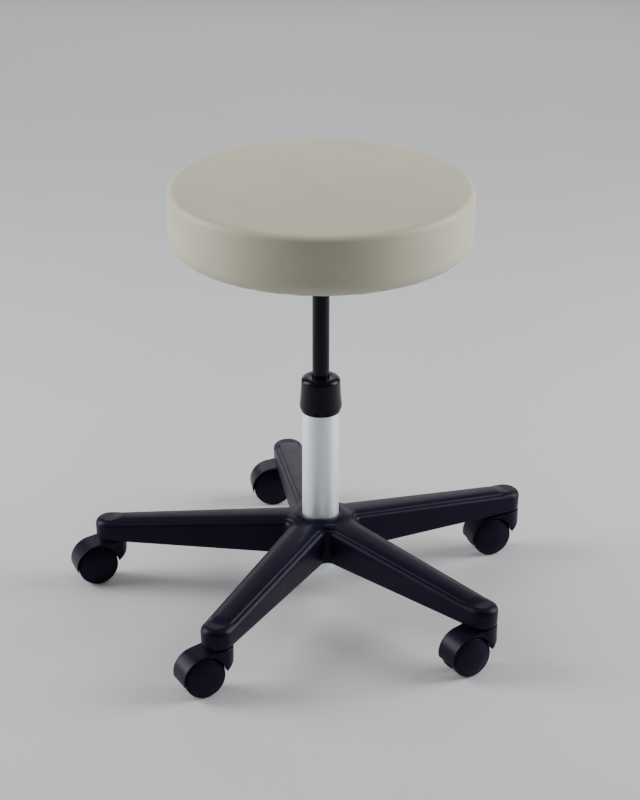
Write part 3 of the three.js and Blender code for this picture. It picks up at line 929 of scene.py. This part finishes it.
def hub_rings(star, top_ring, under_ring):
    """Rings that close the hub: down the cavity's boss, up the bore and over the hub's lip."""
    way = star["crest"] / np.linalg.norm(star["crest"], axis=1, keepdims=True)
    lip = [(37.5, HUB_TOP - 2.6), (35.5, HUB_TOP - 1.8), (33, HUB_TOP - 0.7)]
    lip += [(30.5, HUB_TOP - 0.1), (28.5, HUB_TOP), (27, HUB_TOP - 0.3), (26, HUB_TOP - 1)]
    lip += [(THROAT, HUB_TOP - 2.2), (THROAT, SHOULDER)]
    boss = [(CAVITY_HUB, 71), (CAVITY_HUB - 0.6, 69.3), (CAVITY_HUB - 2, 69)]
    boss += [(BORE + 1, 69), (BORE, 70), (BORE, SHOULDER)]
    steps = [np.column_stack([way * r, np.full(len(way), z)]) for r, z in boss + lip[::-1]]
    return [under_ring, *steps, top_ring]


def base_shape():
    """The base's shell. Its closing rings are filled in only where the outline is the hub's."""
    star = star_outline()
    rings = base_rings(star)
    count = len(star["share"])
    verts = np.concatenate(rings)
    faces = []
    for j in range(len(rings) - 1):
        faces += band(j * count, (j + 1) * count, count)
    closing = hub_rings(star, rings[0], rings[-1])
    first = len(verts)
    verts = np.concatenate([verts, *closing])
    at_hub = star["hub"] & np.roll(star["hub"], -1)
    for j in range(len(closing) - 1):
        quads = band(first + j * count, first + (j + 1) * count, count)
        faces += [quad for quad, near in zip(quads, at_hub) if near]
    used = sorted({i for f in faces for i in f})
    index = {old: new for new, old in enumerate(used)}
    return verts[used], [[index[i] for i in f] for f in faces]


def leg_fittings():
    """The ribs across and along each leg's cavity, and the boss that takes the caster's stem."""
    shapes = []
    for leg in leg_angles:
        turn = Matrix.Rotation(leg, 4, "Z")
        for x in RIBS:
            shapes.append(turned_to(rib(x - 2, x + 2, 0.5), turn))
        shapes.append(turned_to(rib(40, 285, 0, half=1.5), turn))
        foot = TIP_BOTTOM + 0.4
        section = rounded([(5.8, foot), (13, foot, 1), (13.6, 88), (5.8, 88)], closed=True)
        boss = lathe(section, 40, closed=True)
        shapes.append(turned_to(boss, turn @ Matrix.Translation((STEM_OUT, 0, 0))))
    return together(*shapes)


def rib(start, end, gap, half=None):
    """A rib's closed shape between two distances out, from wall to wall unless `half` is given."""
    points = []
    for x in (start, end):
        out = x / STEM_OUT
        side = half or ROOT_HALF + (TIP_HALF - ROOT_HALF) * out - CAVITY_SECTION[0][0] + gap
        low = ROOT_BOTTOM + (TIP_BOTTOM - ROOT_BOTTOM) * out + 3
        high = ROOT_LEDGE + (TIP_LEDGE - ROOT_LEDGE) * out - (4 if half else 7)
        points += [(x, -side, low), (x, side, low), (x, side, high), (x, -side, high)]
    faces = [(0, 1, 2, 3), (4, 5, 6, 7), (0, 1, 5, 4), (1, 2, 6, 5), (2, 3, 7, 6), (3, 0, 4, 7)]
    return points, faces


def add_base():
    shell = solid("base_shell", base_shape(), weld=True, sharp=50)
    fittings = solid("fittings", leg_fittings(), sharp=30)
    combined = shell.data.copy()
    both = bmesh.new()
    both.from_mesh(combined)
    both.from_mesh(fittings.data)
    both.to_mesh(combined)
    both.free()
    shell.data = combined
    bpy.data.objects.remove(fittings)
    dress(shell, "root", "black_plastic", "base")


# ---- Casters --------------------------------------------------------------------------------

TRAIL, WHEEL = 24, 28.2
HOOD, HOOD_HALF, WEB_HALF = 31.8, 18.3, 5.5
# The hood's round edge, in degrees about the wheels' axle from its front lip up to the neck.
# Its radius falls off by this much towards the lip, from this angle down.
LIP_ANGLE, NECK_ANGLE = -11, 84
LIP_DROP, DROP_ANGLE = 0.8, 25
NECK, NECK_TOP = 21, 64
RUNNING = 1.2


def hood_template():
    """The caster's one-piece housing: a neck and a hood that wraps the wheels, with soft edges."""
    outline = [(-8, WHEEL + 7, 4), (TRAIL, WHEEL - 14)]
    for degrees in np.linspace(LIP_ANGLE, NECK_ANGLE, 28):
        a = math.radians(degrees)
        near_lip = max(0, (DROP_ANGLE - degrees) / (DROP_ANGLE - LIP_ANGLE))
        reach = HOOD - LIP_DROP * near_lip**2
        outline.append((TRAIL + reach * math.cos(a), WHEEL + reach * math.sin(a)))
    outline += [(8, NECK_TOP), (2 - NECK, NECK_TOP), (-NECK, NECK_TOP - 2)]
    outline += arc(15 - NECK, 52, 15, 180, 232, 10)
    outline = rounded(outline, closed=True)
    body = solid("hood", prism(outline, -NECK - 1, NECK + 1))
    plan = solid("plan", lathe([(0, 0), (NECK, 0), (NECK, 70), (0, 70)], 96))
    block = [(0, 0), (60, 0), (60, 70), (0, 70)]
    carved(plan, "UNION", solid("block", prism(block, -HOOD_HALF, HOOD_HALF)))
    carved(body, "INTERSECT", plan)
    wells = []
    for low, high in ((WEB_HALF, 40), (-40, -WEB_HALF)):
        well = lathe([(0, low), (WHEEL + RUNNING, low), (WHEEL + RUNNING, high), (0, high)], 128)
        place = Matrix.Translation((TRAIL, 0, WHEEL)) @ ACROSS
        wells.append(solid("well", turned_to(well, place)))
    carved(body, "DIFFERENCE", *wells)
    voxels = body.modifiers.new("voxels", "REMESH")
    voxels.mode = "VOXEL"
    voxels.voxel_size = 1.0 * MM
    smooth = body.modifiers.new("smooth", "SMOOTH")
    smooth.factor = 0.5
    smooth.iterations = 6
    return worked_in(body)


def wheel_shape():
    """A wheel about Z: a domed outer face with a ring sunk in it, and a rounded tread."""
    half = 20.5
    section = [
        (3.3, 6.2, 0.3),
        (26.8, 6.2, 1.2),
        (WHEEL, 8.4, 2),
        (WHEEL, half - 5.4, 2.5),
        (26.6, half - 3.4, 1.6),
        (25.2, half - 2.9, 0.3),
        (25.0, half - 3.2, 0.1),
        (24.6, half - 3.15, 0.1),
        (24.4, half - 2.6, 0.5),
        (13, half + 0.8, 32),
        (0, half + 1.3),
        (0, half - 2.5),
        (3.3, half - 2.5),
    ]
    return lathe(rounded(section, closed=True, step=12), 80)


def add_casters():
    template = hood_template()
    for n, stem in enumerate(stems, 1):
        wheel_place = Vector(joints[f"caster_{n}_left_spin"]["pos_m"]) / MM
        trail = math.atan2(wheel_place.y - stem.y, wheel_place.x - stem.x)
        place = Matrix.Translation((stem.x * MM, stem.y * MM, 0)) @ Matrix.Rotation(trail, 4, "Z")
        mesh = template.data.copy()
        mesh.transform(place)
        mesh.shade_smooth()
        hood = bpy.data.objects.new(f"caster_{n}_hood", mesh)
        bpy.context.scene.collection.objects.link(hood)
        dress(hood, f"caster_{n}", "caster_plastic", f"caster_{n}_housing")
        for side, turn in (("left", 1), ("right", -1)):
            at = Matrix.Translation((TRAIL, 0, WHEEL))
            at = at @ Matrix.Rotation(-turn * math.pi / 2, 4, "X")
            shape = turned_to(wheel_shape(), at)
            wheel = solid(f"caster_{n}_disc_{side}", shape, place, sharp=35)
            dress(wheel, f"caster_{n}_{side}", "wheel_plastic", f"caster_{n}_wheel_{side}")
        section = [(0, 33), (4, 33, 0.5), (4, 64.3), (9, 64.3, 0.3), (9, 65.7, 0.3)]
        section += [(5.5, 65.7), (5.5, 87, 1.2), (0, 87)]
        pin = solid(f"caster_{n}_pin", lathe(rounded(section), 48), place)
        dress(pin, f"caster_{n}", "bright_steel", f"caster_{n}_stem")
    bpy.data.objects.remove(template)


# ---- Scene ----------------------------------------------------------------------------------

VIEW_AZIMUTH = 56.08
VIEW_ELEVATION = 23.81
VIEW_DISTANCE = 3.326
VIEW_CENTRE = (-0.001, 0.292)
VIEW_ROLL = 0.12
LENS = 111.0


def around(azimuth, elevation=0):
    """The direction from the stool towards a place round it, the angles in degrees."""
    a, e = math.radians(azimuth), math.radians(elevation)
    return Vector((math.sin(a) * math.cos(e), -math.cos(a) * math.cos(e), math.sin(e)))


def add_camera():
    data = bpy.data.cameras.new("camera")
    data.lens = LENS
    data.sensor_width = 36
    data.clip_end = 100
    camera = bpy.data.objects.new("camera", data)
    back = around(VIEW_AZIMUTH, VIEW_ELEVATION)
    right = around(VIEW_AZIMUTH + 90)
    target = right * VIEW_CENTRE[0] + Vector((0, 0, VIEW_CENTRE[1]))
    camera.location = target + back * VIEW_DISTANCE
    camera.rotation_mode = "QUATERNION"
    roll = Quaternion((0, 0, 1), math.radians(VIEW_ROLL))
    camera.rotation_quaternion = (-back).to_track_quat("-Z", "Y") @ roll
    bpy.context.scene.collection.objects.link(camera)
    bpy.context.scene.camera = camera


def add_softbox(name, azimuth, distance, height, size, power):
    """A large soft lamp round the stool, turned towards the seat's middle."""
    data = bpy.data.lights.new(name, "AREA")
    data.shape = "RECTANGLE"
    data.size, data.size_y = size
    data.energy = power
    lamp = bpy.data.objects.new(name, data)
    lamp.location = around(azimuth) * distance + Vector((0, 0, height))
    aim = Vector((0, 0, 0.4)) - lamp.location
    lamp.rotation_mode = "QUATERNION"
    lamp.rotation_quaternion = aim.to_track_quat("-Z", "Y")
    lamp.visible_camera = False
    bpy.context.scene.collection.objects.link(lamp)
    return lamp


def add_lights():
    add_softbox("softbox_right", VIEW_AZIMUTH + 98, 2.4, 1.3, (1.4, 2.2), 92)
    add_softbox("softbox_left", VIEW_AZIMUTH - 98, 2.4, 1.3, (1.4, 2.2), 88)
    add_softbox("softbox_back", VIEW_AZIMUTH + 180, 3.4, 1.05, (4.0, 1.3), 30)
    add_softbox("softbox_top", VIEW_AZIMUTH, 0.01, 2.6, (2.6, 2.6), 14)
    front = add_softbox("softbox_front", VIEW_AZIMUTH, 3.6, 0.8, (3.0, 1.4), 5)
    front.visible_glossy = False
    world = bpy.data.worlds.new("studio")
    world.use_nodes = True
    world.node_tree.nodes["Background"].inputs["Color"].default_value = (0.94, 0.95, 1, 1)
    world.node_tree.nodes["Background"].inputs["Strength"].default_value = 0.1
    bpy.context.scene.world = world


def add_floor():
    """A wide pale floor, very slightly mottled."""
    floor = solid("floor", lathe([(0, -30), (9000, -30), (9000, 0), (0, 0)], 128))
    m = Finish("floor", Specular_IOR_Level=0.25)
    m.colour(m.mix(m.noise(300, 3), (0.60, 0.61, 0.62), (0.64, 0.65, 0.66)))
    m.roughness(m.fit(m.noise(120, 2), 0.3, 0.7, 0.62, 0.72))
    floor.data.materials.append(m.material)


add_camera()
add_cushion()
add_foam()
add_bracket()
add_socket()
add_bolts()
add_lever()
add_column()
add_base()
add_casters()
add_lights()
add_floor()
